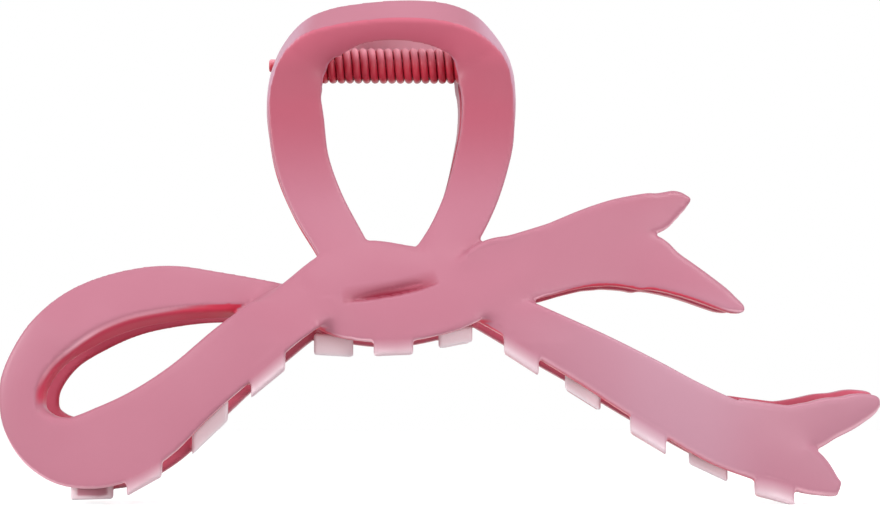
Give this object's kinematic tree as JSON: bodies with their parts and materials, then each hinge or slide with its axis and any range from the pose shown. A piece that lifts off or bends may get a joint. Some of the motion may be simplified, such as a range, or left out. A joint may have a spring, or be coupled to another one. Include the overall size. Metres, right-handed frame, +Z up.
{
  "type": "claw hair clip",
  "caption": "Matte pink claw clip shaped as a ribbon bow: two mirrored toothed jaws on a sprung hinge, with a tall handle loop, an open bow loop and two forked tails.",
  "frame": {"origin": "centre of the closed clip in X and Y, on the floor that it stands on", "axes": "+Z up along the clip's height, +X along the bow from the loop to the tails, -Y out of the front jaw's face; the hinge axis runs along X"},
  "size_m": [0.1314, 0.038, 0.0758],
  "materials": {
    "jaw": "soft-touch matte pink",
    "pin": "satin pink paint on steel",
    "spring": "satin pink paint on spring steel"
  },
  "bodies": {
    "front_jaw": {"front_top_loop": "jaw", "front_knot": "jaw", "front_bow_loop": "jaw", "front_upper_tail": "jaw", "front_lower_tail": "jaw", "front_teeth": "jaw", "front_hinge_lugs": "jaw", "hinge_pin": "pin", "spring": "spring"},
    "back_jaw": {"back_top_loop": "jaw", "back_knot": "jaw", "back_bow_loop": "jaw", "back_upper_tail": "jaw", "back_lower_tail": "jaw", "back_teeth": "jaw", "back_hinge_lugs": "jaw"}
  },
  "joints": [
    {"name": "jaw_hinge", "type": "hinge", "parent": "front_jaw", "child": "back_jaw", "pos_m": [0, 0, 0.0666], "axis": [1, 0, 0], "range_deg": [0, 60], "stiffness_Nm_per_rad": 0.1, "springref_deg": -45.84, "deforming": ["spring"]}
  ]
}
